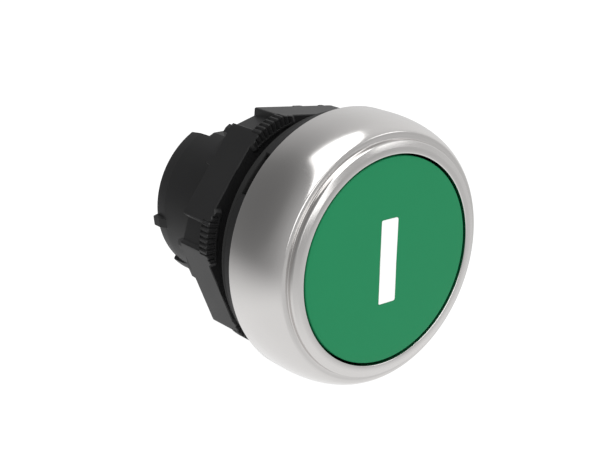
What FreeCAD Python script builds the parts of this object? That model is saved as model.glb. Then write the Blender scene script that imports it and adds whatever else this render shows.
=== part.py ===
import FreeCAD, Part
import math
import os
from FreeCAD import Vector

# Momentary push button actuator for a 22 mm panel hole, in millimetres.
# Y is the button's own axis: the button faces -Y, the panel's front face lies in the plane Y = 0
# and whatever is behind the panel has a positive Y. Z is up. Angles on the round pieces run from
# the top towards -X, which is the left side for someone facing the button.

# ---- sizes along the axis ----
bezel_length = 7.85          # rear edge of the bezel to its front lip
flange_thickness = 1.7       # body flange between the bezel and the gasket
gasket_thickness = 0.8
nut_gap = 2.1                # panel thickness at which the nut is drawn, gasket to nut teeth
nut_tooth_height = 0.8
nut_length = 4.45            # hexagon, without its teeth
neck_tail = 0.85             # threaded neck that shows behind the nut
barrel_tail = 10.26          # plain barrel behind the neck
button_travel = 4.0

# ---- sizes across the axis ----
bezel_overhang = 3.75        # bezel outside the neck
bezel_wall = 1.45
lip_thickness = 1.62
cap_radius = 11.12
cap_gap = 0.26               # open gap between the cap and the bezel's lip
flange_inset = 0.68          # flange inside the bezel's outline
gasket_inset = 0.22          # gasket inside the flange's outline
neck_radius = 11.0           # passes a 22.3 mm hole
neck_wall = 1.6
barrel_radius = 9.63
barrel_wall = 1.43
barrel_taper = 0.3           # rim narrower than the barrel by this much
barrel_taper_length = 1.1
barrel_flat_cut = 0.81       # flat along the top of the barrel, below its round
nut_wall = 1.77              # from the neck to the nut's flats
nut_corner_cut = 0.847       # taken off each sharp corner of the hexagon
stem_radius = 3.0

# ---- clearances ----
clip_clearance = 0.05        # pieces clipped or pressed together
running_clearance = 0.05     # stem in its sleeve
thread_clearance = 0.1       # nut thread on the neck thread
travel_gap = 0.3             # moving pieces clear of fixed ones at the end of the travel
inlay_clearance = 0.02

# ---- radii worked out from the sizes ----
bezel_radius = neck_radius + bezel_overhang
lip_radius = cap_radius + cap_gap
flange_radius = bezel_radius - flange_inset
gasket_radius = flange_radius - gasket_inset
neck_bore = neck_radius - neck_wall
barrel_bore = barrel_radius - barrel_wall
nut_across_flats = 2 * (neck_radius + nut_wall)
nut_corner_radius = nut_across_flats / 2 / math.cos(math.radians(30)) - nut_corner_cut

# ---- stations along the axis, worked out from the lengths ----
flange_rear = -gasket_thickness
flange_front = flange_rear - flange_thickness
bezel_front = flange_front - bezel_length
nut_teeth_front = nut_gap
nut_front = nut_teeth_front + nut_tooth_height
nut_rear = nut_front + nut_length
neck_rear = nut_rear + neck_tail
barrel_rear = neck_rear + barrel_tail

# ---- bezel front: a shelf, a small wall, a flat ring, a sloping step and a flat lip ----
dome_start = 2.0             # straight stretch of the bezel's side, from its rear edge
dome_width = 1.75            # half width of the ellipse that rounds the side over
dome_band = 1.25             # what shows of the dome outside the shelf, seen from the front
shelf_depth = 0.84           # shelf below the lip
lip_width = 0.74
step_width = 0.24            # sloping step from the lip to the ring
ring_width = 0.38
ring_depth = 0.22            # ring below the lip
ring_edge = 0.1              # chamfer at the ring's outer edge
wall_slope = 0.1             # foot of the wall outside its top
lip_edge = 0.05              # chamfer at the opening

# ---- bezel clip and seal ----
collar_wall = 1.65
collar_setback = 0.25        # collar's front face behind the bezel's inner face
bead_height = 0.3
bead_half_width = 0.45
bead_setback = 1.5           # bead behind the collar's front face
seal_section = 0.42          # radius of the round seal's section
seal_setback = 1.6           # seal in front of the flange

# ---- button cap and its head ----
cap_recess = 0.1             # cap face behind the lip
cap_wall = 1.5
cap_skirt_wall = 0.65
cap_edge = 0.12
cap_hook_depth = 0.35
cap_hook_length = 0.3
mark_width = 2.3
mark_height = 9.2
mark_depth = 0.4
head_disc_thickness = 1.0
hub_radius = 6.4
hub_wall = 1.1
hub_length = 6.6
hub_groove_depth = 0.4
hub_groove_width = 1.0
hub_groove_setback = 2.2     # groove behind the disc
boss_radius = 3.9
boss_length = 2.5

# ---- rear pusher and clip ----
spigot_radius = 2.3
clip_groove_depth = 0.4
clip_thickness = 0.4
clip_outer_radius = 3.2
clip_opening = 40.0          # degrees left open in the clip
clip_pocket_radius = 3.6
pusher_plate_thickness = 2.0
pusher_plate_gap = 0.8       # plate inside the barrel's bore
pusher_arm_width = 5.0
foot_length = 2.7
foot_depth = 2.8
foot_width = 3.6

# ---- web, sleeve, spring, diaphragm ----
web_front = 5.5
web_thickness = 2.0
sleeve_wall = 0.95
sleeve_length = 2.5
washer_thickness = 0.3
spring_wire = 0.6
spring_turns = 6.5
pocket_floor = -1.6
diaphragm_bead = 0.7
diaphragm_sheet = 0.5
diaphragm_inner_bead = 0.6
clamp_ring_thickness = 0.6
clamp_ring_width = 1.5

# ---- thread on the neck, drawn as separate rings ----
thread_pitch = 1.5
thread_depth = 0.5
thread_start = 1.2           # plain neck where the panel sits

# ---- body details ----
flange_notch_angles = (49.2, -49.2)
flange_notch_half_angle = 9.9
flange_notch_depth = 0.95
rear_slot_half_angle = 28.0
rear_slot_depth = 3.36
side_lug_angles = (98.0, -98.0)
side_lug_half_angle = 3.4
side_lug_height = 0.4
side_lug_length = 2.5
low_lug_angles = (138.5, -138.5)
low_lug_half_angle = 6.0
low_lug_height = 0.2
low_lug_length = 2.0

# ---- nut details ----
nut_turn = -6.5              # direction of the first flat, from the top
tooth_block_half_width = 2.75   # at the block's front; its ends slope outwards at 45 degrees
tooth_block_wall = 1.4
tooth_pitch_angle = 2.5
side_grooves = 7             # on each corner, along the axis
side_groove_depth = 0.34
side_groove_half_width = 0.26
side_groove_length = 1.65    # from the teeth's front to the corner's recess
face_grooves = 9             # on each block's front, running outwards
face_groove_depth = 0.24
face_groove_half_width = 0.22
face_groove_length = 0.95
corner_recess_depth = 0.7
corner_recess_half_angle = 6.0
rear_rim_height = 0.85       # raised arcs on the nut's back, one behind each flat
rear_rim_inset = 0.02        # arcs inside the flats
rear_rim_wall = 1.2
rear_rim_angle = 16.0        # middle of an arc, from the nearest corner
rear_rim_half_angle = 12.0
rear_tab_height = 0.8        # small tab at the start of each arc
rear_tab_angle = 9.0
rear_tab_half_angle = 2.5


def polar(radius, angle, y=0.0):
    """Point at a radius and at an angle in degrees from the top towards -X."""
    turn = math.radians(angle)
    return Vector(-radius * math.sin(turn), y, radius * math.cos(turn))


def turned(edges):
    """Solid turned around Y from a closed outline in the half plane X > 0."""
    face = Part.Face(Part.Wire(edges))
    return face.revolve(Vector(0, 0, 0), Vector(0, 1, 0), 360)


def outline(points):
    """Straight edges between (radius, y) points, closed."""
    corners = [Vector(radius, y, 0) for radius, y in points]
    corners.append(corners[0])
    return [Part.makeLine(start, end) for start, end in zip(corners, corners[1:])]


def ring(inner, outer, front, rear):
    return turned(outline([(inner, front), (outer, front), (outer, rear), (inner, rear)]))


def cylinder(radius, front, rear):
    return Part.makeCylinder(radius, rear - front, Vector(0, front, 0), Vector(0, 1, 0))


def sector(inner, outer, front, rear, middle, half_angle):
    """Piece of a ring between two radii, two stations and two angles."""
    low, high = middle - half_angle, middle + half_angle
    edges = [
        Part.Arc(polar(outer, low, front), polar(outer, middle, front), polar(outer, high, front)).toShape(),
        Part.makeLine(polar(outer, high, front), polar(inner, high, front)),
        Part.Arc(polar(inner, high, front), polar(inner, middle, front), polar(inner, low, front)).toShape(),
        Part.makeLine(polar(inner, low, front), polar(outer, low, front)),
    ]
    return Part.Face(Part.Wire(edges)).extrude(Vector(0, rear - front, 0))


def box(half_width, height_low, height_high, front, rear):
    """Block centred on X."""
    return Part.makeBox(2 * half_width, rear - front, height_high - height_low,
                        Vector(-half_width, front, height_low))


def save(name, shape):
    shape.exportStep("parts/" + name + ".step")


# ---- bezel ring ----
bezel_bore = bezel_radius - bezel_wall
bezel_inner_face = bezel_front + lip_thickness
collar_radius = bezel_bore - clip_clearance
collar_bore = collar_radius - collar_wall
collar_front = bezel_inner_face + collar_setback
bead_station = collar_front + bead_setback
lip_band_radius = lip_radius + lip_width
ring_inner_radius = lip_band_radius + step_width
ring_outer_radius = ring_inner_radius + ring_width
shelf_inner_radius = ring_outer_radius + wall_slope
shelf_outer_radius = bezel_radius - dome_band
seal_station = flange_front - seal_setback


def dome_arc():
    """Quarter of an ellipse from the bezel's side to the outer edge of the shelf."""
    centre = Vector(bezel_radius - dome_width, flange_front - dome_start, 0)
    start = Vector(bezel_radius, centre.y, 0)
    across = (shelf_outer_radius - centre.x) / dome_width
    shelf_y = bezel_front + shelf_depth
    length = (centre.y - shelf_y) / math.sqrt(1 - across ** 2)
    tip = Vector(centre.x, centre.y - length, 0)
    ellipse = Part.Ellipse(tip, start, centre)
    return Part.ArcOfEllipse(ellipse, math.asin(across), math.pi / 2).toShape()


def bezel_ring():
    dome = dome_arc()
    ends = sorted((vertex.Point for vertex in dome.Vertexes), key=lambda point: point.y)
    front_points = [
        ends[0],
        Vector(shelf_inner_radius, bezel_front + shelf_depth, 0),
        Vector(ring_outer_radius, bezel_front + ring_depth + ring_edge, 0),
        Vector(ring_outer_radius - ring_edge, bezel_front + ring_depth, 0),
        Vector(ring_inner_radius, bezel_front + ring_depth, 0),
        Vector(lip_band_radius, bezel_front, 0),
        Vector(lip_radius + lip_edge, bezel_front, 0),
        Vector(lip_radius, bezel_front + lip_edge, 0),
        Vector(lip_radius, bezel_inner_face, 0),
        Vector(bezel_bore, bezel_inner_face, 0),
        Vector(bezel_bore, flange_front, 0),
        Vector(bezel_radius, flange_front, 0),
        ends[1],
    ]
    edges = [Part.makeLine(start, end) for start, end in zip(front_points, front_points[1:])]
    groove = clip_bead(clip_clearance)
    return turned([dome] + edges).cut(groove)


def clip_bead(clearance):
    """Triangular ring that the bezel snaps over; with a clearance, the groove for it."""
    tip = collar_radius + bead_height + clearance
    half = bead_half_width + clearance
    return turned(outline([
        (collar_bore + bead_height, bead_station - half),
        (collar_radius, bead_station - half),
        (tip, bead_station),
        (collar_radius, bead_station + half),
        (collar_bore + bead_height, bead_station + half),
    ]))


save("bezel_ring", bezel_ring())


# ---- bezel seal ----
def bezel_seal():
    middle = bezel_bore - seal_section
    return Part.makeTorus(middle, seal_section, Vector(0, seal_station, 0), Vector(0, 1, 0))


save("bezel_seal", bezel_seal())


# ---- housing: collar, flange, threaded neck and rear barrel in one moulding ----
web_rear = web_front + web_thickness
sleeve_bore = stem_radius + running_clearance
sleeve_radius = sleeve_bore + sleeve_wall
barrel_flat_height = barrel_radius - barrel_flat_cut


def thread_points(radius, depth, start, end):
    """Outline points of thread rings along a neck, from its front to its rear."""
    points = []
    count = int((end - start) / thread_pitch)
    flank = depth
    for index in range(count):
        front = start + index * thread_pitch
        points.append((radius, front))
        points.append((radius - depth, front + flank))
        points.append((radius - depth, front + thread_pitch - flank - thread_pitch / 6))
        points.append((radius, front + thread_pitch - thread_pitch / 6))
    return points


def housing():
    seal_groove_floor = bezel_bore - 2 * seal_section - clip_clearance
    seal_groove_half = seal_section + clip_clearance
    points = [
        (collar_radius, collar_front),
        (collar_radius, seal_station - seal_groove_half),
        (seal_groove_floor, seal_station - seal_groove_half),
        (seal_groove_floor, seal_station + seal_groove_half),
        (collar_radius, seal_station + seal_groove_half),
        (collar_radius, flange_front),
        (flange_radius, flange_front),
        (flange_radius, flange_rear),
        (neck_radius, flange_rear),
    ]
    points += thread_points(neck_radius, thread_depth, thread_start, neck_rear)
    points += [
        (neck_radius, neck_rear),
        (barrel_radius, neck_rear),
        (barrel_radius, barrel_rear - barrel_taper_length),
        (barrel_radius - barrel_taper, barrel_rear),
        (barrel_bore, barrel_rear),
        (barrel_bore, web_rear),
        (sleeve_bore, web_rear),
        (sleeve_bore, web_front - sleeve_length),
        (sleeve_radius, web_front - sleeve_length),
        (sleeve_radius, web_front),
        (neck_bore, web_front),
        (neck_bore, pocket_floor),
        (collar_bore, pocket_floor),
        (collar_bore, collar_front),
    ]
    body = turned(outline(points))
    added = [clip_bead(0.0).cut(cylinder(collar_bore, collar_front, flange_front))]
    for angles, half_angle, height, length in (
            (side_lug_angles, side_lug_half_angle, side_lug_height, side_lug_length),
            (low_lug_angles, low_lug_half_angle, low_lug_height, low_lug_length)):
        for angle in angles:
            added.append(sector((barrel_bore + barrel_radius) / 2, barrel_radius + height,
                                barrel_rear - length, barrel_rear, angle, half_angle))
    body = body.fuse(added)
    cuts = [
        sector(barrel_bore / 2, barrel_radius + 1, barrel_rear - rear_slot_depth,
               barrel_rear + 1, 0, rear_slot_half_angle),
        box(barrel_radius, barrel_flat_height, barrel_radius + 1, neck_rear, barrel_rear),
    ]
    for angle in flange_notch_angles:
        cuts.append(sector(flange_radius - flange_notch_depth, flange_radius + 1,
                           flange_front, flange_rear, angle, flange_notch_half_angle))
    return body.cut(cuts).removeSplitter()


save("housing", housing())

# ---- panel gasket ----
save("panel_gasket", ring(neck_radius + clip_clearance, gasket_radius, flange_rear, 0.0))


# ---- fixing nut ----
rear_rim_radius = nut_across_flats / 2 - rear_rim_inset
rear_tab_radius = rear_rim_radius + rear_tab_height


def hexagon(across_flats, front, rear):
    corner = across_flats / 2 / math.cos(math.radians(30))
    corners = [polar(corner, nut_turn + 30 + 60 * index, front) for index in range(7)]
    return Part.Face(Part.makePolygon(corners)).extrude(Vector(0, rear - front, 0))


def tooth_block(angle):
    """Front part of a corner, in front of the flats, with sloping ends."""
    outwards, sideways = polar(1, angle), polar(1, angle + 90)
    start = outwards * (nut_corner_radius - tooth_block_wall - 1)
    corners = [start + sideways * width + Vector(0, station, 0) for width, station in (
        (-tooth_block_half_width, nut_teeth_front),
        (tooth_block_half_width, nut_teeth_front),
        (tooth_block_half_width + nut_tooth_height, nut_front),
        (-tooth_block_half_width - nut_tooth_height, nut_front),
        (-tooth_block_half_width, nut_teeth_front))]
    return Part.Face(Part.makePolygon(corners)).extrude(outwards * (tooth_block_wall + 2))


def side_groove(angle):
    """Narrow V running along the axis, open at the nut's outer surface."""
    outer = nut_corner_radius + side_groove_depth
    half = math.degrees(2 * side_groove_half_width / nut_corner_radius)
    front = nut_teeth_front - 0.5
    corners = [
        polar(outer, angle - half, front),
        polar(nut_corner_radius - side_groove_depth, angle, front),
        polar(outer, angle + half, front),
        polar(outer, angle - half, front),
    ]
    return Part.Face(Part.makePolygon(corners)).extrude(Vector(0, side_groove_length + 0.5, 0))


def face_groove(angle):
    """Shallow V running outwards across the front of a tooth block."""
    outwards, sideways = polar(1, angle), polar(1, angle + 90)
    start = outwards * (nut_corner_radius - face_groove_length)
    corners = [start + sideways * width + Vector(0, nut_teeth_front + depth, 0) for width, depth in (
        (-2 * face_groove_half_width, -face_groove_depth),
        (0, face_groove_depth),
        (2 * face_groove_half_width, -face_groove_depth),
        (-2 * face_groove_half_width, -face_groove_depth))]
    return Part.Face(Part.makePolygon(corners)).extrude(outwards * (face_groove_length + 1))


def groove_angles(middle, count):
    return [middle + (index - (count - 1) / 2) * tooth_pitch_angle for index in range(count)]


def fixing_nut():
    body = hexagon(nut_across_flats, nut_front, nut_rear)
    body = body.common(cylinder(nut_corner_radius, nut_front, nut_rear))
    front_layer = hexagon(nut_across_flats, nut_teeth_front, nut_front).common(
        ring(nut_corner_radius - tooth_block_wall, nut_corner_radius, nut_teeth_front, nut_front))
    corner_angles = [nut_turn + 30 + 60 * index for index in range(6)]
    teeth = []
    cuts = []
    rims = []
    for angle in corner_angles:
        teeth.append(front_layer.common(tooth_block(angle)))
        cuts.append(sector(nut_corner_radius - corner_recess_depth, nut_corner_radius + 1,
                           nut_teeth_front + side_groove_length, nut_rear + 1,
                           angle, corner_recess_half_angle))
        cuts += [side_groove(direction) for direction in groove_angles(angle, side_grooves)]
        cuts += [face_groove(direction) for direction in groove_angles(angle, face_grooves)]
        rims.append(sector(rear_rim_radius - rear_rim_wall, rear_rim_radius, nut_rear,
                           nut_rear + rear_rim_height, angle + rear_rim_angle, rear_rim_half_angle))
        rims.append(sector(rear_rim_radius - rear_rim_wall, rear_tab_radius, nut_rear,
                           nut_rear + rear_rim_height, angle + rear_tab_angle, rear_tab_half_angle))
    body = body.fuse(teeth).cut(cuts).fuse(rims)
    inner = thread_points(neck_radius + thread_clearance, thread_depth, thread_start, neck_rear)
    inner = [(neck_radius + thread_clearance, nut_teeth_front - 1)] + [
        point for point in inner if point[1] > nut_teeth_front - 0.5]
    inner.append((neck_radius + thread_clearance, neck_rear + 1))
    bore = turned(outline(inner + [(0, neck_rear + 1), (0, nut_teeth_front - 1)]))
    return body.cut(bore).removeSplitter()


save("fixing_nut", fixing_nut())

# ---- button cap with its inlaid mark ----
cap_front = bezel_front + cap_recess
cap_inner_face = cap_front + cap_wall
head_front = cap_inner_face + clip_clearance
head_disc_rear = head_front + head_disc_thickness
cap_hook_front = head_disc_rear + clip_clearance
cap_rear = cap_hook_front + cap_hook_length
cap_skirt_bore = cap_radius - cap_skirt_wall
head_radius = cap_skirt_bore - clip_clearance


def mark(clearance):
    return Part.makeBox(mark_width + 2 * clearance, mark_depth, mark_height + 2 * clearance,
                        Vector(-mark_width / 2 - clearance, cap_front, -mark_height / 2 - clearance))


def button_cap():
    body = turned(outline([
        (0, cap_front),
        (cap_radius - cap_edge, cap_front),
        (cap_radius, cap_front + cap_edge),
        (cap_radius, cap_rear),
        (cap_skirt_bore - cap_hook_depth, cap_rear),
        (cap_skirt_bore - cap_hook_depth, cap_hook_front),
        (cap_skirt_bore, cap_hook_front),
        (cap_skirt_bore, cap_inner_face),
        (0, cap_inner_face),
    ]))
    return body.cut(mark(inlay_clearance))


save("button_cap", button_cap())
save("on_mark", mark(0.0))

# ---- plunger head that carries the cap ----
hub_rear = head_disc_rear + hub_length
spring_pocket_floor = head_disc_rear
boss_rear = spring_pocket_floor + boss_length
spigot_bore = spigot_radius + clip_clearance
clip_pocket_floor = head_front + clip_thickness + clip_clearance


def plunger_head():
    groove_front = head_disc_rear + hub_groove_setback
    hub_bore = hub_radius - hub_wall
    return turned(outline([
        (clip_pocket_radius, head_front),
        (head_radius, head_front),
        (head_radius, head_disc_rear),
        (hub_radius, head_disc_rear),
        (hub_radius, groove_front),
        (hub_radius - hub_groove_depth, groove_front),
        (hub_radius - hub_groove_depth, groove_front + hub_groove_width),
        (hub_radius, groove_front + hub_groove_width),
        (hub_radius, hub_rear),
        (hub_bore, hub_rear),
        (hub_bore, spring_pocket_floor),
        (boss_radius, spring_pocket_floor),
        (boss_radius, boss_rear),
        (spigot_bore, boss_rear),
        (spigot_bore, clip_pocket_floor),
        (clip_pocket_radius, clip_pocket_floor),
    ]))


save("plunger_head", plunger_head())

# ---- rear pusher: spigot, stem, cross plate and two feet ----
clip_front = clip_pocket_floor - clip_thickness
pusher_plate_radius = barrel_bore - pusher_plate_gap
foot_inner_radius = pusher_plate_radius - foot_depth
pusher_plate_front = web_rear + travel_gap
pusher_plate_rear = pusher_plate_front + pusher_plate_thickness
foot_rear = pusher_plate_rear + foot_length


def rear_pusher():
    groove_floor = spigot_radius - clip_groove_depth
    spigot_front = head_front + clip_clearance / 2
    body = turned(outline([
        (0, spigot_front),
        (spigot_radius, spigot_front),
        (spigot_radius, clip_front),
        (groove_floor, clip_front),
        (groove_floor, clip_pocket_floor),
        (spigot_radius, clip_pocket_floor),
        (spigot_radius, boss_rear),
        (stem_radius, boss_rear),
        (stem_radius, pusher_plate_rear),
        (0, pusher_plate_rear),
    ]))
    arms = []
    half = pusher_arm_width / 2
    disc = cylinder(pusher_plate_radius, pusher_plate_front, pusher_plate_rear)
    across = box(pusher_plate_radius, -half, half, pusher_plate_front, pusher_plate_rear)
    upright = box(half, -pusher_plate_radius, pusher_plate_radius, pusher_plate_front, pusher_plate_rear)
    arms.append(disc.common(across.fuse(upright)))
    for side in (-1, 1):
        foot = Part.makeBox(pusher_plate_radius - foot_inner_radius, foot_length, foot_width,
                            Vector(min(side * foot_inner_radius, side * pusher_plate_radius),
                                   pusher_plate_rear, -foot_width / 2))
        arms.append(foot.common(cylinder(pusher_plate_radius, pusher_plate_rear, foot_rear)))
    return body.fuse(arms).removeSplitter()


save("rear_pusher", rear_pusher())


# ---- open clip that holds the pusher in the head ----
def pusher_clip():
    clip = ring(spigot_radius - clip_groove_depth, clip_outer_radius, clip_front, clip_pocket_floor)
    return clip.cut(sector(0.5, clip_outer_radius + 1, clip_front, clip_pocket_floor,
                           180, clip_opening / 2))


save("pusher_clip", pusher_clip())

# ---- spring and its washer ----
washer_front = web_front - washer_thickness
spring_mean_radius = (boss_radius + hub_radius - hub_wall) / 2     # midway in the spring's pocket
save("spring_washer", ring(sleeve_radius + clip_clearance, hub_radius, washer_front, web_front))


def return_spring():
    wire = spring_wire / 2
    length = washer_front - spring_pocket_floor - spring_wire - 2 * clip_clearance
    helix = Part.makeHelix(length / spring_turns, length, spring_mean_radius)
    section = Part.Wire(Part.makeCircle(wire, Vector(spring_mean_radius, 0, 0), Vector(0, 1, 0)))
    coil = Part.Wire(helix.Edges).makePipeShell([section], True, True)
    coil.rotate(Vector(0, 0, 0), Vector(1, 0, 0), -90)
    coil.translate(Vector(0, spring_pocket_floor + wire + clip_clearance, 0))
    return coil


save("return_spring", return_spring())

# ---- rolling diaphragm and the ring that clamps its outer bead ----
bead_front = pocket_floor - diaphragm_bead
clamp_ring_radius = collar_bore - clip_clearance
clamp_ring_bore = clamp_ring_radius - clamp_ring_width


def diaphragm():
    groove_front = head_disc_rear + hub_groove_setback
    lip_bore = hub_radius - hub_groove_depth + 2 * clip_clearance
    lip_front = groove_front + 2 * clip_clearance
    lip_rear = groove_front + hub_groove_width - 2 * clip_clearance
    lip_outer = hub_radius + diaphragm_inner_bead
    fold_radius = clamp_ring_bore - diaphragm_sheet
    return turned(outline([
        (lip_bore, lip_front),
        (lip_outer, lip_front),
        (fold_radius, bead_front - diaphragm_sheet),
        (fold_radius, bead_front),
        (clamp_ring_radius, bead_front),
        (clamp_ring_radius, pocket_floor),
        (fold_radius - diaphragm_sheet, pocket_floor),
        (lip_outer, lip_rear),
        (lip_bore, lip_rear),
    ]))


save("diaphragm", diaphragm())
save("clamp_ring", ring(clamp_ring_bore, clamp_ring_radius, bead_front - clamp_ring_thickness, bead_front))
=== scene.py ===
import math
import bmesh
import bpy
import numpy as np
from mathutils import Matrix, Vector


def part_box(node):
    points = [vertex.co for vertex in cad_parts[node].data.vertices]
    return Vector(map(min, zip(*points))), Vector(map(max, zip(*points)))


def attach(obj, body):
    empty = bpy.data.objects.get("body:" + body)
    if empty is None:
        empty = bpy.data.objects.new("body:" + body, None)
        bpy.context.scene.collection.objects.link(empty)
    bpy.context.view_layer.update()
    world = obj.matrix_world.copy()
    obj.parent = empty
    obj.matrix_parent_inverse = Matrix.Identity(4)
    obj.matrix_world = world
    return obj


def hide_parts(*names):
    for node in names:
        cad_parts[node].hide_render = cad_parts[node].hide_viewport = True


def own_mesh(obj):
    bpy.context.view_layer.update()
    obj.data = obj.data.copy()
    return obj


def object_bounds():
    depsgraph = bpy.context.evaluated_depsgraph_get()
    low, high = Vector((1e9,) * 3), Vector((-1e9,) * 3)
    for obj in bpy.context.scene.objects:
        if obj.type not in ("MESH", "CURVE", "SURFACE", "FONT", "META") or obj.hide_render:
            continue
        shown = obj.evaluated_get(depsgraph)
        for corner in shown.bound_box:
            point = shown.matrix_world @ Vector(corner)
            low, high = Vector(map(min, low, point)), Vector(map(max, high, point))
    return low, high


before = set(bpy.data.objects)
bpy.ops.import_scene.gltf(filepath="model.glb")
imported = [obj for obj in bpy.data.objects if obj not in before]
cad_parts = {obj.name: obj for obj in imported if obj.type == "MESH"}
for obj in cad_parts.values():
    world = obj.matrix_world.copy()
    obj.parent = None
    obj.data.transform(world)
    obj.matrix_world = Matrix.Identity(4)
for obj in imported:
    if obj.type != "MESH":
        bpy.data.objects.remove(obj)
cadLow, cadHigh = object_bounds()
mm = 0.001
edgeWidth = 0.6              # degrees taken by the ramp where something begins or ends round a piece


def station(node, end):
    # where a CAD node starts (0) or ends (1) along the button's axis, in mm
    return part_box(node)[end].y / mm


def reach(node):
    # outer radius of a round CAD node, in mm
    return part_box(node)[1].x / mm


# shapes that several pieces share

def roundedOutline(corners, steps=5, closed=True):
    # each corner (radius, y, rounding) gives way to an arc that touches both of its sides
    corners = [np.array(corner, float) for corner in corners]
    points = []
    for index, corner in enumerate(corners):
        before = corners[index - 1][:2] - corner[:2]
        after = corners[(index + 1) % len(corners)][:2] - corner[:2]
        endPoint = not closed and index in (0, len(corners) - 1)
        if corner[2] <= 0 or endPoint:
            points.append(corner[:2])
            continue
        lengthBefore, lengthAfter = np.linalg.norm(before), np.linalg.norm(after)
        before, after = before / lengthBefore, after / lengthAfter
        half = math.acos(np.clip(before @ after, -1, 1)) / 2
        if half > math.radians(88):      # an almost straight corner stays as it is
            points.append(corner[:2])
            continue
        # the arc takes up less than half of either side
        tangent = min(corner[2] / math.tan(half), 0.48 * lengthBefore, 0.48 * lengthAfter)
        rounding = tangent * math.tan(half)
        middle = (before + after) / np.linalg.norm(before + after)
        centre = corner[:2] + middle * rounding / math.sin(half)
        start, end = corner[:2] + before * tangent - centre, corner[:2] + after * tangent - centre
        sweep = math.pi - 2 * half
        share = np.linspace(0, 1, steps)[:, None]
        arc = (np.sin((1 - share) * sweep) * start + np.sin(share * sweep) * end) / math.sin(sweep)
        points.extend(centre + arc)
    return np.array(points)


def within(angles, middle, half, soft=edgeWidth):
    # 1 between two angles and 0 outside them, with a short straight ramp at each
    away = np.abs((angles - middle + 180) % 360 - 180)
    return np.clip((half - away) / soft + 0.5, 0, 1)


def anglesWithEdges(edges):
    # one direction per degree, and a few close ones across each edge
    even = np.arange(0, 360, 1.0)
    nearEdge = edgeWidth * np.array([-0.56, -0.5, 0, 0.5, 0.56])
    close = np.add.outer(np.array(edges, float), nearEdge).ravel() % 360
    every = np.unique(np.round(np.concatenate([even, close]), 4))
    return every[np.append(np.diff(every) > 0.01, True)]


def meshFromGrid(name, x, y, z, wrapRows=True, wrapColumns=True):
    # neighbouring points of the grid are joined by four-sided faces
    rows, columns = x.shape
    points = np.stack([x, y, z], axis=-1).reshape(-1, 3) * mm
    row = np.arange(rows if wrapRows else rows - 1)[:, None]
    column = np.arange(columns if wrapColumns else columns - 1)[None, :]
    nextRow, nextColumn = (row + 1) % rows, (column + 1) % columns
    faces = np.stack([row * columns + column, nextRow * columns + column,
                      nextRow * columns + nextColumn, row * columns + nextColumn], axis=-1).reshape(-1, 4)
    mesh = bpy.data.meshes.new(name)
    mesh.from_pydata(points.tolist(), [], faces.tolist())
    return mesh


def finished(mesh, sharpAngle=32):
    # points that meet are merged, faces turned outwards, and only edges above the angle left sharp
    work = bmesh.new()
    work.from_mesh(mesh)
    bmesh.ops.remove_doubles(work, verts=work.verts, dist=2e-6)
    bmesh.ops.dissolve_degenerate(work, edges=work.edges, dist=1e-6)
    bmesh.ops.recalc_face_normals(work, faces=work.faces)
    work.to_mesh(mesh)
    work.free()
    mesh.shade_smooth()
    mesh.set_sharp_from_angle(angle=math.radians(sharpAngle))
    piece = bpy.data.objects.new(mesh.name, mesh)
    bpy.context.scene.collection.objects.link(piece)
    return piece


def turnedPiece(name, radius, y, angles, closed=True, sharpAngle=32):
    # a lathe surface: x is minus the radius times the sine of the angle, z the radius times its cosine
    turn = np.radians(angles)[:, None]
    radius, y = np.broadcast_arrays(radius, y)
    radius = radius * np.ones_like(turn)
    y = y * np.ones_like(turn)
    mesh = meshFromGrid(name, -radius * np.sin(turn), y, radius * np.cos(turn), True, closed)
    return finished(mesh, sharpAngle)


def columnsOf(outline, angles):
    # each pair is a radius and a y, as one number or as one value for every direction
    spread = lambda item: np.stack([pair[item] + 0 * angles for pair in outline], axis=1)
    return spread(0), spread(1)


def barOutline(angles, width, height, rounding):
    # distance from the middle to the edge of a rounded upright bar, in each direction
    across, up = np.abs(np.sin(np.radians(angles))), np.abs(np.cos(np.radians(angles)))
    flatSide = np.minimum(width / 2 / np.maximum(across, 1e-9), height / 2 / np.maximum(up, 1e-9))
    centreX, centreZ = width / 2 - rounding, height / 2 - rounding
    along = across * centreX + up * centreZ
    inside = along ** 2 - (centreX ** 2 + centreZ ** 2 - rounding ** 2)
    corner = along + np.sqrt(np.maximum(inside, 0))
    inCorner = (flatSide * across > centreX) & (flatSide * up > centreZ) & (inside > 0)
    return np.where(inCorner, corner, flatSide)


# materials

class Wire:
    # a node's output that can be added, multiplied and so on as a number
    def __init__(self, graph, socket):
        self.graph = graph
        self.socket = socket

    def maths(self, operation, first, second):
        return self.graph.maths(operation, first, second)

    def __add__(self, other):
        return self.maths("ADD", self, other)

    def __radd__(self, other):
        return self.maths("ADD", other, self)

    def __sub__(self, other):
        return self.maths("SUBTRACT", self, other)

    def __rsub__(self, other):
        return self.maths("SUBTRACT", other, self)

    def __mul__(self, other):
        return self.maths("MULTIPLY", self, other)

    def __rmul__(self, other):
        return self.maths("MULTIPLY", other, self)


class Graph:
    # the nodes of one material or of the world
    def __init__(self, tree):
        self.tree = tree
        tree.nodes.clear()

    def node(self, kind, settings=None, sockets=None, output=0):
        made = self.tree.nodes.new(kind)
        for key, value in (settings or {}).items():
            if key == "stops":
                while len(made.color_ramp.elements) < len(value):
                    made.color_ramp.elements.new(0.5)
                for element, (place, colour) in zip(made.color_ramp.elements, value):
                    element.position, element.color = place, colour
            else:
                setattr(made, key, value)
        for key, value in (sockets or {}).items():
            if isinstance(value, Wire):
                self.tree.links.new(value.socket, made.inputs[key])
            else:
                made.inputs[key].default_value = value
        return Wire(self, made.outputs[output]) if len(made.outputs) else made

    def maths(self, operation, first, second):
        return self.node("ShaderNodeMath", {"operation": operation}, {0: first, 1: second})


def grey(value):
    return (value, value, value, 1)


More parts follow.
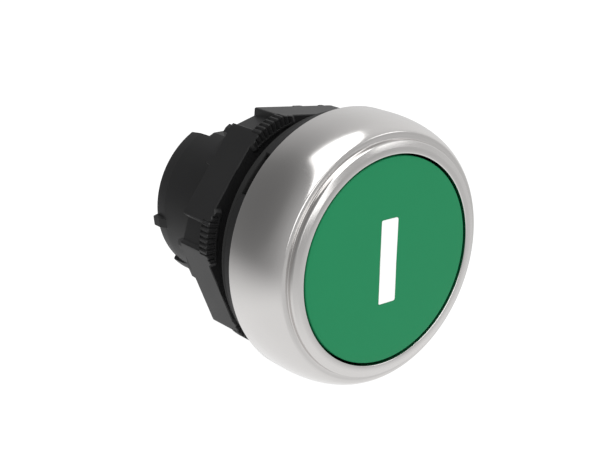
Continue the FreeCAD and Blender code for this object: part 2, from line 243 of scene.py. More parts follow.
def newMaterial(name):
    material = bpy.data.materials.new(name)
    material.use_nodes = True
    return material, Graph(material.node_tree)


def close(graph, shader):
    graph.node("ShaderNodeOutputMaterial", None, {"Surface": shader})


def noise(graph, scale, detail, roughness=0.5):
    place = graph.node("ShaderNodeTexCoord", output="Object")
    return graph.node("ShaderNodeTexNoise", None,
                      {"Vector": place, "Scale": scale, "Detail": detail, "Roughness": roughness}, "Fac")


def tinted(graph, factor, dark, light):
    return graph.node("ShaderNodeMix", {"data_type": "RGBA"}, {0: factor, 6: dark, 7: light}, 2)


def bumped(graph, height, distance):
    return graph.node("ShaderNodeBump", None, {"Height": height, "Distance": distance, "Strength": 1.0})


def toned(colour, factor):
    # the same colour, darker below 1 and lighter above it
    return tuple(channel * factor for channel in colour) + (1,)


chrome = {
    "colour": (0.66, 0.645, 0.635),
    "colourSpread": 0.02,
    "roughness": 0.17,
    "roughnessSpread": 0.05,
    "cloudScale": 260,
    "satinScale": 14000,
    "satinHeight": 0.0000012,
}


def satinChrome():
    # plated metal with a very fine satin grain and slightly uneven gloss
    material, graph = newMaterial("satinChrome")
    cloud = noise(graph, chrome["cloudScale"], 3)
    grain = noise(graph, chrome["satinScale"], 1)
    dark = tuple(channel - chrome["colourSpread"] for channel in chrome["colour"]) + (1,)
    light = tuple(channel + chrome["colourSpread"] for channel in chrome["colour"]) + (1,)
    close(graph, graph.node("ShaderNodeBsdfPrincipled", None, {
        "Base Color": tinted(graph, cloud, dark, light),
        "Metallic": 1.0,
        "Roughness": (cloud - 0.5) * chrome["roughnessSpread"] + chrome["roughness"],
        "Normal": bumped(graph, grain, chrome["satinHeight"]),
    }))
    return material


moulded = {
    "cloudScale": 180,
    "noiseRoughness": 0.6,
    "roughnessSpread": 0.12,
}


def mouldedPlastic(name, colour, spread, roughness, grainScale, grainHeight, specular=0.5):
    # an even pigment with faint flow clouds, a moulded grain and uneven gloss
    material, graph = newMaterial(name)
    cloud = noise(graph, moulded["cloudScale"], 4, moulded["noiseRoughness"])
    grain = noise(graph, grainScale, 3, moulded["noiseRoughness"])
    close(graph, graph.node("ShaderNodeBsdfPrincipled", None, {
        "Base Color": tinted(graph, cloud, toned(colour, 1 - spread), toned(colour, 1 + spread)),
        "Roughness": (cloud - 0.5) * moulded["roughnessSpread"] + roughness,
        "Specular IOR Level": specular,
        "Normal": bumped(graph, grain, grainHeight),
    }))
    return material


steel = {
    "markScale": 3000.0,
    "markHeight": 0.000002,
    "markShade": 0.9,
    "roughnessSpread": 0.15,
}


def brightSteel(name, colour, roughness, stretch):
    # drawn or stamped steel, its fine marks longer one way than the other
    material, graph = newMaterial(name)
    place = graph.node("ShaderNodeTexCoord", output="Object")
    marks = graph.node("ShaderNodeMapping", None, {"Vector": place, "Scale": stretch})
    lines = graph.node("ShaderNodeTexNoise", None,
                       {"Vector": marks, "Scale": steel["markScale"], "Detail": 3.0}, "Fac")
    close(graph, graph.node("ShaderNodeBsdfPrincipled", None, {
        "Base Color": tinted(graph, lines, toned(colour, steel["markShade"]), colour + (1,)),
        "Metallic": 1.0,
        "Roughness": lines * steel["roughnessSpread"] + roughness,
        "Normal": bumped(graph, lines, steel["markHeight"]),
    }))
    return material


def paint(thing, material):
    thing.data.materials.clear()
    thing.data.materials.append(material)


# each plastic or rubber: name, colour, spread of its shade, roughness, grain's scale and height, specular
blackPlastic = mouldedPlastic("blackPlastic", (0.015, 0.015, 0.0155), 0.12, 0.5, 5200, 0.000004, 0.27)
nutPlastic = mouldedPlastic("nutPlastic", (0.015, 0.015, 0.0155), 0.12, 0.47, 5200, 0.000004, 0.34)
greenPlastic = mouldedPlastic("greenPlastic", (0.0073, 0.209, 0.0805), 0.03, 0.42, 7000, 0.0000016, 0.2)
whitePlastic = mouldedPlastic("whitePlastic", (0.93, 0.93, 0.92), 0.02, 0.4, 7000, 0.0000016)
darkPlastic = mouldedPlastic("darkPlastic", (0.06, 0.06, 0.064), 0.1, 0.5, 5000, 0.000004)
greyPlastic = mouldedPlastic("greyPlastic", (0.5, 0.5, 0.47), 0.05, 0.45, 5000, 0.000003)
gasketRubber = mouldedPlastic("gasketRubber", (0.014, 0.014, 0.014), 0.2, 0.75, 3600, 0.000008, 0.35)
sealRubber = mouldedPlastic("sealRubber", (0.02, 0.02, 0.02), 0.2, 0.7, 3600, 0.000008, 0.35)
chromeFinish = satinChrome()
# each steel: name, colour, roughness, and how its marks are drawn out along x, y and z
springSteel = brightSteel("springSteel", (0.6, 0.6, 0.62), 0.22, (1, 6, 1))
washerSteel = brightSteel("washerSteel", (0.62, 0.62, 0.63), 0.3, (4, 1, 1))
print("materials ready")

# the front ring, with a domed side and a stepped front

bezel = {
    "wall": 1.45,
    "domeStart": 2.0,        # straight side from the rear edge
    "domeWidth": 1.75,       # half width of the ellipse that rounds the side over
    "domeStop": 0.1,         # radians between the ellipse's end and the shelf
    "domeEdge": 0.3,         # rounding where the dome meets the shelf
    "shelfOuter": 13.5,
    "shelfRoll": 13.2,       # outside this the shelf leans a little outwards
    "shelfInner": 12.79,
    "shelfDepth": 0.84,      # shelf behind the lip
    "shelfLean": 0.035,
    "shelfRounding": 1.2,
    "noseOuter": 12.76,      # rounded step between the shelf and the sloping ring
    "noseInner": 12.6,
    "noseDepth": 0.22,
    "noseStart": 0.12,       # radians of its ellipse left out at the shelf
    "lipOuter": 12.1,
    "lipMiddle": 11.65,      # where the lip stands foremost
    "lipCrown": 0.045,
    "lipThickness": 1.62,
    "opening": 11.38,
    "openingEdge": 0.06,
    "footFillet": 0.06,
    "frontFillet": 0.2,      # inside corner behind the lip
    "smallRounding": 0.1,
    "rearRounding": 0.14,
}


def makeBezelRing():
    front, rear = station("bezel_ring", 0), station("bezel_ring", 1)
    outer = reach("bezel_ring")
    centreRadius, centreY = outer - bezel["domeWidth"], rear - bezel["domeStart"]
    shelfY = front + bezel["shelfDepth"]
    across = (bezel["shelfOuter"] - centreRadius) / bezel["domeWidth"]
    length = (centreY - shelfY) / math.sqrt(1 - across ** 2)
    # the dome is a stretch of an ellipse, from the side almost to the shelf's outer edge
    turn = np.linspace(math.pi / 2, math.asin(across) + bezel["domeStop"], 56)
    dome = np.stack([centreRadius + bezel["domeWidth"] * np.sin(turn),
                     centreY - length * np.cos(turn)], axis=1)
    # the lip's front is a shallow parabola across its width
    lipRadius = np.linspace(bezel["lipOuter"], bezel["opening"] + 0.05, 10)
    share = (lipRadius - bezel["lipMiddle"]) / (bezel["lipOuter"] - bezel["lipMiddle"])
    lip = np.stack([lipRadius, front + bezel["lipCrown"] * share ** 2, 0 * share], axis=1)
    # the step is a quarter of an ellipse, from the shelf forward to the sloping ring's outer edge
    turn = np.linspace(bezel["noseStart"], math.pi / 2, 12)
    noseFoot = shelfY - bezel["shelfLean"]
    noseLength = noseFoot - front - bezel["noseDepth"]
    nose = np.stack([bezel["noseInner"] + (bezel["noseOuter"] - bezel["noseInner"]) * np.cos(turn),
                     noseFoot - noseLength * np.sin(turn), 0 * turn], axis=1)
    inner = outer - bezel["wall"]
    lipRear = front + bezel["lipThickness"]
    corners = [
        (dome[-1][0], dome[-1][1], 0),
        (bezel["shelfOuter"], shelfY, bezel["domeEdge"]),
        (bezel["shelfRoll"], noseFoot, bezel["shelfRounding"]),
        (bezel["shelfInner"], noseFoot, bezel["footFillet"]),
        *nose,
        *lip,
        (bezel["opening"], front + bezel["openingEdge"], bezel["openingEdge"] / 2),
        (bezel["opening"], lipRear, bezel["smallRounding"]),
        (inner, lipRear, bezel["frontFillet"]),
        (inner, rear, bezel["smallRounding"]),
        (outer - 0.02, rear, bezel["rearRounding"]),
        (outer, centreY + 0.02, 0),
    ]
    outline = np.concatenate([dome[:-1], roundedOutline(corners, 7)])
    angles = np.arange(0, 360, 1.0)
    ring = turnedPiece("bezelRing", outline[None, :, 0], outline[None, :, 1], angles, sharpAngle=50)
    paint(ring, chromeFinish)
    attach(ring, "body")
    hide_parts("bezel_ring")


makeBezelRing()
print("bezel ring ready")

# the button's cap, and the upright bar let into its face

cap = {
    "edge": 0.16,            # rounding of the face's edge
    "crown": 0.01,           # how much the face's middle stands forward
    "wall": 1.5,
    "skirtWall": 0.65,
    "hookDepth": 0.35,
    "hookLength": 0.3,
    "rearRounding": 0.1,
    "hookRounding": 0.08,
    "hookFillet": 0.05,
    "insideFillet": 0.2,
    "markRounding": 0.22,
    "markDepth": 0.4,
    "markGap": 0.02,
    "markEdge": 0.03,        # bevel round the bar's recess
    "markBevel": 0.04,       # and round the bar itself
    "markClearance": 0.01,   # between the bar's rear and the recess's floor
    "faceBand": 0.8,         # the face's edge ring, outside its crowned middle
    "cornerShifts": (-1.5, -0.7, 0, 0.7, 1.5, 179.3, 180, 180.7),    # degrees from the bar's corner
}


def makeButtonCap():
    front, rear = station("button_cap", 0), station("button_cap", 1)
    outer = reach("button_cap")
    markLow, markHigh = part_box("on_mark")
    width = (markHigh.x - markLow.x) / mm + 2 * cap["markGap"]
    height = (markHigh.z - markLow.z) / mm + 2 * cap["markGap"]
    inside = outer - cap["skirtWall"]
    hookInner, hookFront = inside - cap["hookDepth"], rear - cap["hookLength"]
    corners = [
        (outer - cap["faceBand"], front + cap["crown"], 0),
        (outer, front + cap["crown"] + 0.01, cap["edge"]),
        (outer, rear, cap["rearRounding"]),
        (hookInner, rear, cap["hookRounding"]),
        (hookInner, hookFront, cap["hookRounding"]),
        (inside, hookFront, cap["hookFillet"]),
        (inside, front + cap["wall"], cap["insideFillet"]),
        (0, front + cap["wall"], 0),
    ]
    # near the four corners of the bar the directions lie closer together
    cornerAngle = math.degrees(math.atan2(width, height))
    angles = anglesWithEdges([sign * (cornerAngle + shift)
                              for sign in (1, -1) for shift in cap["cornerShifts"]])
    bar = barOutline(angles, width, height, cap["markRounding"])[:, None]
    shell = roundedOutline(corners, 6, closed=False)
    shellRadius, shellY = columnsOf(shell[1:], angles)
    # the face lies behind its middle by the square of the radius, from the bar out to the edge ring
    share = np.linspace(0, 1, 9)[None, 1:]
    faceRadius = bar + (shell[0, 0] - bar) * share
    faceY = front + cap["crown"] * (faceRadius / shell[0, 0]) ** 2
    level = lambda depth: bar * 0 + front + depth
    radius = np.concatenate([bar * 0, bar, bar, bar + cap["markEdge"], faceRadius, shellRadius], axis=1)
    floor, edge = level(cap["markDepth"]), level(cap["markEdge"])
    y = np.concatenate([floor, floor, edge, level(0), faceY, shellY], axis=1)
    piece = turnedPiece("buttonCap", radius, y, angles, closed=False, sharpAngle=40)
    paint(piece, greenPlastic)
    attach(piece, "plunger")
    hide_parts("button_cap")

    width, height = width - 2 * cap["markGap"], height - 2 * cap["markGap"]
    bar = barOutline(angles, width, height, cap["markRounding"])[:, None]
    bevel, markRear = cap["markBevel"], cap["markDepth"] - cap["markClearance"]
    radius = np.concatenate([bar * 0, bar * 0.5, bar - bevel, bar, bar, bar * 0], axis=1)
    y = front + np.array([[0, 0, 0, bevel, markRear, markRear]])
    mark = turnedPiece("onMark", radius, y, angles, closed=False, sharpAngle=40)
    paint(mark, whitePlastic)
    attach(mark, "plunger")
    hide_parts("on_mark")


makeButtonCap()
print("button cap ready")

# the fixing nut: a hexagon with toothed blocks on its corners and a broken rim behind

nut = {
    "turn": -6.5,            # direction of the first flat
    "flats": 12.77,
    "cornerRadius": 13.9,
    "cornerBlend": 0.05,
    "hexSetback": 0.8,       # hexagon's front face behind the nut's foremost plane
    "blockHeight": 0.38,
    "blockHalfWidth": 2.75,  # at the front of a corner's block
    "blockSlope": 0.35,      # run of its sloping ends
    "blockWall": 1.4,
    "groovePitch": 2.5,
    "sideGrooves": 7,
    "sideDepth": 0.2,
    "sideHalfWidth": 0.22,
    "sideRadius": 13.7,      # where the width of a side groove is measured
    "sideLength": 1.65,
    "faceGrooves": 9,
    "faceDepth": 0.18,
    "faceHalfWidth": 0.22,
    "faceRadius": 13.4,
    "faceLength": 1.2,
    "recessFloor": 13.05,    # a flat whose direction is turned back from the corner
    "recessTurn": 8.5,
    "recessHalfAngle": 6.0,
    "recessRamp": 1.3,       # width of the recess's sloping sides, in degrees
    "rimHeight": 0.85,
    "rimRadius": 12.75,
    "rimWall": 1.2,
    "rimMiddle": 16.0,       # from the nearest corner
    "rimHalfAngle": 12.0,
    "tabRadius": 13.55,
    "tabMiddle": 9.0,
    "tabHalfAngle": 2.5,
    "bore": 11.1,
    "bevel": 0.1,
    "smallRun": 0.02,        # run of the steps that end a block or a groove
    "faceRun": 0.03,         # run in which a groove in a face reaches its depth
    "edgeSoft": 0.4,         # width of an edge between two directions, in degrees
}


def makeFixingNut():
    front, rear = station("fixing_nut", 0), station("fixing_nut", 1) - nut["rimHeight"]
    hexFront = front + nut["hexSetback"]
    corner = nut["turn"] + 30
    pitch, soft, bevel = nut["groovePitch"], nut["edgeSoft"], nut["bevel"]
    # directions across each edge and each groove of one corner, repeated for all six
    spans = [(0, nut["recessHalfAngle"]), (nut["rimMiddle"], nut["rimHalfAngle"]),
             (nut["tabMiddle"], nut["tabHalfAngle"])]
    edges = [middle + side * half for middle, half in spans for side in (1, -1)]
    atEdges = np.add.outer(np.array(edges), soft * np.array([-0.55, -0.5, 0.5, 0.55])).ravel()
    nearGroove = np.array([-0.93, -0.47, 0, 0.47, 0.93, 1.25])
    atGrooves = np.add.outer(np.arange(-12, 12) * pitch, nearGroove).ravel()
    oneCorner = np.concatenate([atGrooves, atEdges])
    angles = np.unique(np.round(np.add.outer(corner + 60 * np.arange(6), oneCorner).ravel() % 360, 4))
    angles = angles[np.append(np.diff(angles) > 0.012, True)]

    fromNearest = lambda first: (angles - first + 30) % 60 - 30    # of six directions, 60 degrees apart
    away = fromNearest(corner)
    # the corners are cut by a circle: a soft minimum of the flats' distance and the corner radius
    hexagon = nut["flats"] / np.cos(np.radians(fromNearest(nut["turn"])))
    blend = nut["cornerBlend"]
    hexRadius = -blend * np.logaddexp(-hexagon / blend, -nut["cornerRadius"] / blend)
    recess = within(away, 0, nut["recessHalfAngle"], nut["recessRamp"])
    # an arc of the rim reaches past the middle of a flat, so the corner before it counts too
    rim = np.maximum(within(away, nut["rimMiddle"], nut["rimHalfAngle"], soft),
                     within(away, nut["rimMiddle"] - 60, nut["rimHalfAngle"], soft))
    tab = within(away, nut["tabMiddle"], nut["tabHalfAngle"], soft)
    fromGroove = (away / pitch + 0.5) % 1 - 0.5      # in pitches, from the nearest groove's bottom

    wall = nut["cornerRadius"] - nut["blockWall"]
    faceStart = nut["cornerRadius"] - nut["faceLength"]

    def blockFront(radius):
        # the blocks stand in front of the flats; their height falls off along the sloping ends
        along = np.abs(radius * np.sin(np.radians(away)))
        ends = np.clip((nut["blockHalfWidth"] + nut["blockSlope"] - along) / nut["blockSlope"], 0, 1)
        return hexFront - nut["blockHeight"] * ends

    def groove(radius, count, halfWidth):
        # 1 at the bottom of a V, 0 outside it
        distance = np.abs(radius * np.radians(fromGroove * pitch)) / halfWidth
        return np.clip(1 - distance, 0, 1) * (np.abs(away) < count * pitch / 2)

    faceDrop = nut["faceDepth"] * groove(nut["faceRadius"], nut["faceGrooves"], nut["faceHalfWidth"])
    sideDrop = nut["sideDepth"] * groove(nut["sideRadius"], nut["sideGrooves"], nut["sideHalfWidth"])
    grooved = np.minimum(hexRadius, nut["cornerRadius"] - sideDrop)
    floor = nut["recessFloor"] / np.cos(np.radians(away + nut["recessTurn"]))
    pocket = hexRadius + np.minimum(floor - hexRadius, 0) * recess
    grooveEnd = front + nut["sideLength"]
    rimRear = rear + nut["rimHeight"] * rim
    rimOuter = np.minimum(nut["rimRadius"] + (nut["tabRadius"] - nut["rimRadius"]) * tab,
                          pocket - bevel - 0.01)
    rimInner = nut["rimRadius"] - nut["rimWall"]
    bore, step = nut["bore"], nut["smallRun"]
    radius, y = columnsOf([
        (bore, hexFront + bevel),
        (bore + bevel, hexFront),
        (wall, hexFront),
        (wall, np.minimum(blockFront(wall) + 3 * step, hexFront)),
        (wall + 3 * step, blockFront(wall + 3 * step)),
        (faceStart, blockFront(faceStart)),
        (faceStart + nut["faceRun"], blockFront(faceStart) + faceDrop),
        (grooved - bevel, blockFront(grooved) + faceDrop),
        (grooved, blockFront(grooved) + faceDrop + bevel * 0.8),
        (grooved, grooveEnd),
        (hexRadius, grooveEnd + step),
        (pocket, grooveEnd + 2 * step),
        (pocket, rear - bevel),
        (pocket - bevel, rear),
        (rimOuter, rear),
        (rimOuter, rimRear - bevel * rim),
        (rimOuter - bevel * rim, rimRear),
        (rimInner + bevel * rim, rimRear),
        (rimInner, rimRear - bevel * rim),
        (rimInner, rear),
        (bore + bevel, rear),
        (bore, rear - bevel),
    ], angles)
    piece = turnedPiece("fixingNut", radius, y, angles, sharpAngle=24)
    paint(piece, nutPlastic)
    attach(piece, "nut")
    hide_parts("fixing_nut")


makeFixingNut()
print("fixing nut ready")

# the housing: collar, notched flange, threaded neck and rear barrel in one moulding

housing = {
    "collar": 13.25,
    "collarBore": 11.6,
    "flange": 14.07,
    "flangeFront": -2.5,
    "flangeRear": -0.8,
    "notchDepth": 0.95,
    "notchMiddle": 49.2,
    "notchHalfAngle": 9.9,
    "neck": 11.0,
    "neckRear": 8.2,
    "neckBore": 9.4,
    "pocketFloor": -1.6,
    "threadStart": 1.2,
    "threadPitch": 1.5,
    "threadDepth": 0.5,
    "threadRoot": 1.5,       # the higher, the wider the groove's flat bottom
    "threadFlank": 4.2,      # steepness of its two flanks
    "threadFade": 0.5,       # length over which the first turn begins
    "threadEnd": 0.4,        # length left plain at the neck's rear edge
    "threadStep": 0.1,
    "webFront": 5.5,
    "webRear": 7.5,
    "sleeveBore": 3.05,
    "sleeve": 4.0,
    "sleeveFront": 3.0,
    "barrel": 9.63,
    "barrelBore": 8.2,
    "barrelFlat": 8.82,
    "taper": 0.26,
    "taperLength": 1.8,
    "slotHalfAngle": 28.0,
    "slotDepth": 3.36,
    "lugRamp": 0.8,          # the lugs rise to the rear out of the barrel
    "lugEdge": 0.12,
    "flangeEdge": 0.1,
    "flangeRearEdge": 0.12,
    "neckEdge": 0.3,
    "bevel": 0.15,
    "sideLug": (98.0, 3.4, 0.4, 1.3),    # angle, half angle, height, length
    "lowLug": (138.5, 6.0, 0.2, 2.0),
    "plainLength": 2.0,      # place of the same rows where there is no lug
    "slotTaper": 0.08,
}


def makeHousing():
    # one profile goes through bore and outside, and each of its radii may change with the direction
    front, rear = station("housing", 0), station("housing", 1)
    notchMiddle, notchHalf = housing["notchMiddle"], housing["notchHalfAngle"]
    slotHalf = housing["slotHalfAngle"]
    flatHalf = math.degrees(math.acos(housing["barrelFlat"] / housing["barrel"]))
    lugs = (housing["sideLug"], housing["lowLug"])
    spans = [(notchMiddle, notchHalf), (0, slotHalf), (0, flatHalf)] + [lug[:2] for lug in lugs]
    angles = anglesWithEdges([sign * middle + side * half for middle, half in spans
                              for sign in (1, -1) for side in (1, -1)])

    notch = within(angles, notchMiddle, notchHalf) + within(angles, -notchMiddle, notchHalf)
    slot = within(angles, 0, slotHalf)
    lugHeight, lugMask, lugLength = 0 * angles, 0 * angles, housing["plainLength"]
    for middle, half, height, length in lugs:
        mask = within(angles, middle, half) + within(angles, -middle, half)
        lugHeight, lugMask = lugHeight + mask * height, lugMask + mask
        lugLength = np.where(mask > 0, length, lugLength)

    # the flat is the chord across the top of the barrel
    upright = np.maximum(np.cos(np.radians(angles)), 1e-6)
    barrel = np.minimum(housing["barrel"], housing["barrelFlat"] / upright)
    flange = housing["flange"] - housing["notchDepth"] * notch
    rimY = rear - housing["slotDepth"] * slot
    # a helical thread: its depth follows the distance along the axis less the part of a turn
    start, neckRear = housing["threadStart"], housing["neckRear"]
    threadY = np.arange(start, neckRear - housing["threadEnd"], housing["threadStep"])
    phase = ((threadY[None, :] - start) / housing["threadPitch"] - angles[:, None] / 360) % 1
    profile = np.clip(housing["threadRoot"] - np.abs(phase - 0.5) * housing["threadFlank"], 0, 1)
    depth = housing["threadDepth"] * profile * np.clip((threadY - start) / housing["threadFade"], 0, 1)

    collar, collarBore, neck = housing["collar"], housing["collarBore"], housing["neck"]
    flangeFront, flangeRear = housing["flangeFront"], housing["flangeRear"]
    bevel, edge, rearEdge = housing["bevel"], housing["flangeEdge"], housing["flangeRearEdge"]
    firstRadius, firstY = columnsOf([
        (collarBore, front + bevel),
        (collarBore + bevel, front),
        (collar - bevel, front),
        (collar, front + bevel),
        (collar, flangeFront),
        (flange - edge, flangeFront),
        (flange, flangeFront + edge),
        (flange, flangeRear - rearEdge),
        (flange - rearEdge, flangeRear),
        (neck, flangeRear),
        (neck, start),
    ], angles)

    # the barrel's end tapers between the lugs, and only its edge is broken on them
    lugEdge, neckEdge = housing["lugEdge"], housing["neckEdge"]
    taperY = np.minimum(rear - housing["taperLength"] * (1 - lugMask) - lugEdge * lugMask, rimY - 0.1)
    taperRadius = barrel - housing["taper"] * (1 - lugMask) + lugHeight - lugEdge * lugMask
    taperRadius = np.where(slot > 0.5, barrel - housing["slotTaper"], taperRadius)
    lugY = np.minimum(rear - lugLength, taperY - lugEdge)
    bore, sleeve, sleeveBore = housing["barrelBore"], housing["sleeve"], housing["sleeveBore"]
    webFront, webRear, sleeveFront = housing["webFront"], housing["webRear"], housing["sleeveFront"]
    lastRadius, lastY = columnsOf([
        (neck, neckRear - neckEdge),
        (neck - neckEdge, neckRear),
        (barrel, neckRear),
        (barrel, lugY - housing["lugRamp"]),
        (barrel + lugHeight * 0.9, lugY),
        (barrel + lugHeight, lugY + 0.1),
        (barrel + lugHeight, taperY),
        (taperRadius, rimY),
        (bore + bevel, rimY),
        (bore, rimY - bevel),
        (bore, webRear),
        (sleeveBore + bevel, webRear),
        (sleeveBore, webRear - bevel),
        (sleeveBore, sleeveFront),
        (sleeve, sleeveFront),
        (sleeve, webFront),
        (housing["neckBore"], webFront),
        (housing["neckBore"], housing["pocketFloor"]),
        (collarBore, housing["pocketFloor"]),
    ], angles)
    radius = np.concatenate([firstRadius, neck - depth, lastRadius], axis=1)
    y = np.concatenate([firstY, np.tile(threadY, (len(angles), 1)), lastY], axis=1)
    piece = turnedPiece("housingBody", radius, y, angles, sharpAngle=12)
    paint(piece, blackPlastic)
    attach(piece, "body")
    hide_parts("housing")


makeHousing()
print("housing ready")

# gasket, spring and diaphragm

gasket = {
    "inner": 11.05,
    "innerBead": 0.6,        # widths of the two raised rings on the rear face
    "outerBead": 0.7,
    "beadSlope": 0.25,
    "beadHeight": 0.12,
    "edge": 0.25,
    "smallEdge": 0.1,
}


def makeGasket():
    front, rear = station("panel_gasket", 0), station("panel_gasket", 1)
    outer = reach("panel_gasket")
    inner, small, edge = gasket["inner"], gasket["smallEdge"], gasket["edge"]
    innerBead, outerBead = inner + gasket["innerBead"], outer - gasket["outerBead"]
    slope, floor = gasket["beadSlope"], rear - gasket["beadHeight"]
    # a flat ring whose rear face is a trench between two raised beads
    outline = roundedOutline([
        (inner, front, small), (outer, front, edge), (outer, rear, edge), (outerBead, rear, small),
        (outerBead - slope, floor, small), (innerBead + slope, floor, small),
        (innerBead, rear, small), (inner, rear, small)])
    piece = turnedPiece("panelGasket", outline[None, :, 0], outline[None, :, 1], np.arange(0, 360, 1.5))
    paint(piece, gasketRubber)
    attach(piece, "body")
    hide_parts("panel_gasket")


spring = {
    "turns": 6.5,
    "deadTurns": 0.8,        # closed turns at either end
    "deadRise": 0.04,        # share of the height climbed evenly, so the closed turns don't touch
    "wire": 0.6,
    "radius": 4.6,
    "rowsPerTurn": 36,
    "wireSides": 14,
    "travel": 4.0,
}


def makeSpring():
    front, rear = station("return_spring", 0), station("return_spring", 1)
    wire, middleRadius = spring["wire"] / 2, spring["radius"]
    # a coil: the angle runs evenly along the wire, and the climb waits for the closed turns to end
    turns = spring["turns"] + 2 * spring["deadTurns"]
    share = np.linspace(0, 1, int(turns * spring["rowsPerTurn"]))[:, None]
    dead = spring["deadTurns"] / turns
    climb = np.clip((share - dead) / (1 - 2 * dead), 0, 1)
    climb = climb * (1 - spring["deadRise"]) + share * spring["deadRise"]
    turn = 2 * math.pi * turns * share
    # one more row at either end shrinks to a point and closes the wire
    climb, turn = [np.concatenate([item[:1], item, item[-1:]]) for item in (climb, turn)]
    thickness = np.concatenate([[[0]], wire + 0 * share, [[0]]])
    section = np.linspace(0, 2 * math.pi, spring["wireSides"], endpoint=False)[None, :]
    radius = middleRadius + thickness * np.cos(section)
    x, z = radius * np.cos(turn), radius * np.sin(turn)
    y = front + wire + (rear - front - 2 * wire) * climb + thickness * np.sin(section)
    piece = finished(meshFromGrid("returnSpring", x, y, z, False, True), 60)
    paint(piece, springSteel)
    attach(piece, "body")
    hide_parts("return_spring")
    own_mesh(piece)


diaphragm = {
    "lip": 6.45,             # just clear of the hub it slides along
    "lipThickness": 0.6,
    "lipEnd": 7.0,
    "frontBends": (8.1, 9.5),        # radii of the two bends on the funnel's front side
    "frontDrops": (1.5, 1.2),        # the first this far behind the front, the second before the rear
    "rearBends": (7.6, 9.1),         # radii of the two bends on its rear side
    "rearDrop": 1.9,                 # the first this far behind the front
    "bendRounding": 0.5,
    "footRounding": 0.3,
    "beadWidth": 1.5,
    "beadThickness": 0.7,
}


def makeDiaphragm():
    front, rear = station("diaphragm", 0), station("diaphragm", 1)
    outer = reach("diaphragm")
    lip, lipEnd, lipRear = diaphragm["lip"], diaphragm["lipEnd"], front + diaphragm["lipThickness"]
    firstBend, secondBend = diaphragm["frontBends"]
    firstDrop, secondDrop = diaphragm["frontDrops"]
    backFirst, backSecond = diaphragm["rearBends"]
    bead = rear - diaphragm["beadThickness"]
    bend, foot = diaphragm["bendRounding"], diaphragm["footRounding"]
    # a thin funnel, from the lip at the hub to the clamped bead
    outline = roundedOutline([
        (lip, front, 0.1), (lipEnd, front, 0.15),
        (firstBend, front + firstDrop, bend), (secondBend, rear - secondDrop, foot),
        (outer - diaphragm["beadWidth"], bead, 0.1), (outer, bead, 0.08), (outer, rear, 0.08),
        (backSecond, rear, foot), (backFirst, front + diaphragm["rearDrop"], bend),
        (lipEnd, lipRear, 0.1), (lip, lipRear, 0.1)])
    piece = turnedPiece("sealDiaphragm", outline[None, :, 0], outline[None, :, 1],
                        np.arange(0, 360, 2.0))
    paint(piece, sealRubber)
    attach(piece, "body")
    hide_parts("diaphragm")
    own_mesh(piece)


makeGasket()
makeSpring()
makeDiaphragm()

keptFinishes = {
    "bezel_seal": sealRubber,
    "plunger_head": darkPlastic,
    "rear_pusher": greyPlastic,
    "pusher_clip": springSteel,
    "spring_washer": washerSteel,
    "clamp_ring": darkPlastic,
}
for nodeName, finish in keptFinishes.items():
    paint(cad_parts[nodeName], finish)
print("inner pieces ready")

# camera, lights, floor and world

studio = {
    "azimuth": -39.91,       # camera's direction from the button, from straight in front towards +X
    "elevation": 18.77,
    "roll": 1.29,
    "distance": 136.9,
    "sideways": -4.18,       # camera's place across and up from the line to the bezel's rear edge
    "upwards": 1.66,
    "focal": 76.53,
    # each softbox: azimuth, elevation, distance, width and height, power
    "overhead": (-14, 76, 480, (400, 690), 1.73),
    "frontLow": (-3, 10, 480, (360, 200), 0.36),
    "rightFront": (42, 18, 480, (130, 130), 0.09),
    "floorSize": 2400,
    "floorDrop": 0.05,       # below the lowest point of the button
    "floorGrey": 0.06,
    # greys round the darkest side, from the far side (0) to its middle (1)
    "darkSide": (-140, 22),
    "greys": ((0.0, 0.5), (0.585, 0.5), (0.75, 0.44), (0.885, 0.33), (0.95, 0.22), (1.0, 0.18)),
    "glowSide": (100, 20),
    "glow": 0.42,
    "paleFrom": -0.1,        # heights between which the world turns white downwards
    "paleTo": -0.65,
}


def direction(azimuth, elevation):
    azimuth, elevation = math.radians(azimuth), math.radians(elevation)
    return Vector((math.sin(azimuth) * math.cos(elevation), -math.cos(azimuth) * math.cos(elevation),
                   math.sin(elevation)))


def makeCamera():
    back = direction(studio["azimuth"], studio["elevation"])
    right = Vector((0, 0, 1)).cross(back).normalized()
    up = back.cross(right)
    turn = math.radians(studio["roll"])
    right, up = (right * math.cos(turn) + up * math.sin(turn),
                 up * math.cos(turn) - right * math.sin(turn))
    target = Vector((0, station("bezel_ring", 1), 0))
    place = target + back * studio["distance"] + right * studio["sideways"] + up * studio["upwards"]
    lens = bpy.data.cameras.new("mainCamera")
    lens.lens = studio["focal"]
    lens.sensor_width = 36
    lens.clip_start = 0.001
    camera = bpy.data.objects.new("mainCamera", lens)
    bpy.context.scene.collection.objects.link(camera)
    turned = Matrix((right, up, back)).transposed().to_4x4()
    camera.matrix_world = Matrix.Translation(place * mm) @ turned
    bpy.context.scene.camera = camera


def softLight(name, azimuth, elevation, distance, size, power):
    data = bpy.data.lights.new(name, "AREA")
    data.shape = "RECTANGLE"
    data.size, data.size_y = size[0] * mm, size[1] * mm
    data.energy = power
    lamp = bpy.data.objects.new(name, data)
    bpy.context.scene.collection.objects.link(lamp)
    towards = direction(azimuth, elevation)
    lamp.location = towards * distance * mm
    lamp.rotation_euler = towards.to_track_quat("Z", "Y").to_euler()


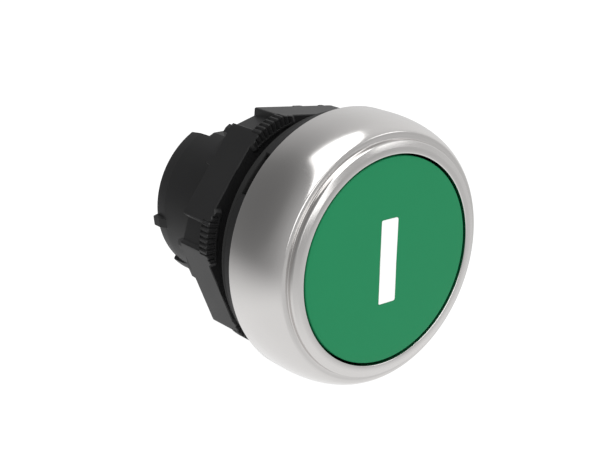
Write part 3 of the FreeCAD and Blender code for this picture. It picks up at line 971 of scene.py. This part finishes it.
def makeFloor():
    half = studio["floorSize"] / 2
    level = cadLow.z / mm - studio["floorDrop"]
    mesh = meshFromGrid("studioFloor", np.array([[-half, half], [-half, half]]),
                        np.array([[-half, -half], [half, half]]), np.full((2, 2), level), False, False)
    floor = bpy.data.objects.new("studioFloor", mesh)
    bpy.context.scene.collection.objects.link(floor)
    material, graph = newMaterial("paleFloor")
    close(graph, graph.node("ShaderNodeBsdfPrincipled", None, {
        "Base Color": grey(studio["floorGrey"]), "Roughness": 0.9,
        "Emission Color": grey(1), "Emission Strength": 1.0}))
    paint(floor, material)
    floor.visible_glossy = False     # the ring mirrors the studio's own soft gradient instead


def makeWorld():
    # a soft studio: white below, mid grey around, darkest behind and to the left, a glow on the right
    world = bpy.data.worlds.new("softStudio")
    bpy.context.scene.world = world
    world.use_nodes = True
    graph = Graph(world.node_tree)
    towards = graph.node("ShaderNodeTexCoord", output="Generated")
    facing = lambda way: graph.node("ShaderNodeVectorMath", {"operation": "DOT_PRODUCT"},
                                    {0: towards, 1: way}, "Value")
    stops = [(place, grey(level)) for place, level in studio["greys"]]
    around = graph.node("ShaderNodeValToRGB", {"stops": stops},
                        {"Fac": facing(direction(*studio["darkSide"])) * 0.5 + 0.5})
    glow = graph.maths("MAXIMUM", facing(direction(*studio["glowSide"])), 0.0)
    below = graph.node("ShaderNodeMapRange", {"interpolation_type": "SMOOTHSTEP"},
                       {"Value": facing((0, 0, 1)), "From Min": studio["paleFrom"],
                        "From Max": studio["paleTo"], "To Min": 0.0, "To Max": 1.0})
    level = (around + glow * glow * studio["glow"]) * (1 - below) + below
    colour = graph.node("ShaderNodeMix", {"data_type": "RGBA"}, {0: level, 6: grey(0), 7: grey(1)}, 2)
    back = graph.node("ShaderNodeBackground", None, {"Color": colour, "Strength": 1.0})
    graph.node("ShaderNodeOutputWorld", None, {"Surface": back})


makeCamera()
for lampName in ("overhead", "frontLow", "rightFront"):
    softLight(lampName, *studio[lampName])
makeFloor()
makeWorld()
bpy.context.scene.view_settings.view_transform = "Standard"
print("studio ready")
